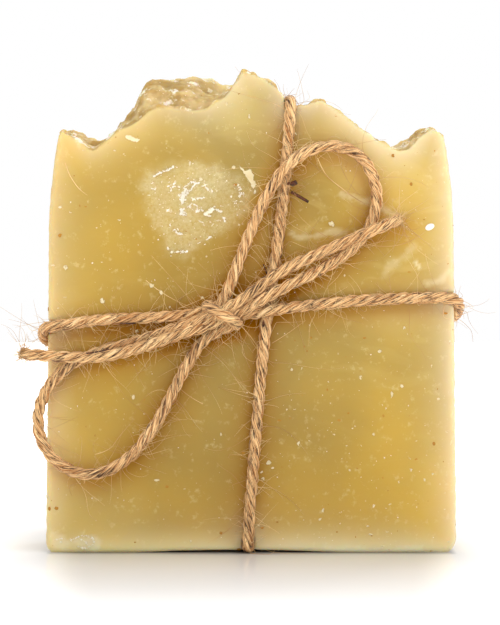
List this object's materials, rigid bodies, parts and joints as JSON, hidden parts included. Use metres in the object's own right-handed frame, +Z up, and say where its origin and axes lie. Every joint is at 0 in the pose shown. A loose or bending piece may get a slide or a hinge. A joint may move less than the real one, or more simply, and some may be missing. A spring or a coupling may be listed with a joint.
{
  "type": "bar of soap",
  "caption": "Hand-cut soap bar with a rough spooned top, tied crosswise with jute twine in a bow at the front.",
  "frame": {"origin": "middle of the soap bar's base, on the surface it stands on", "axes": "+Z up to the rough top, -Y out of the front face with the bow, +X to the right seen from the front"},
  "size_m": [0.0728, 0.0366, 0.0797],
  "materials": {
    "soap": "translucent, waxy",
    "jute": "coarse, hairy"
  },
  "bodies": {
    "root": {"soap_bar": "soap", "jute_twine": "jute"}
  },
  "joints": []
}
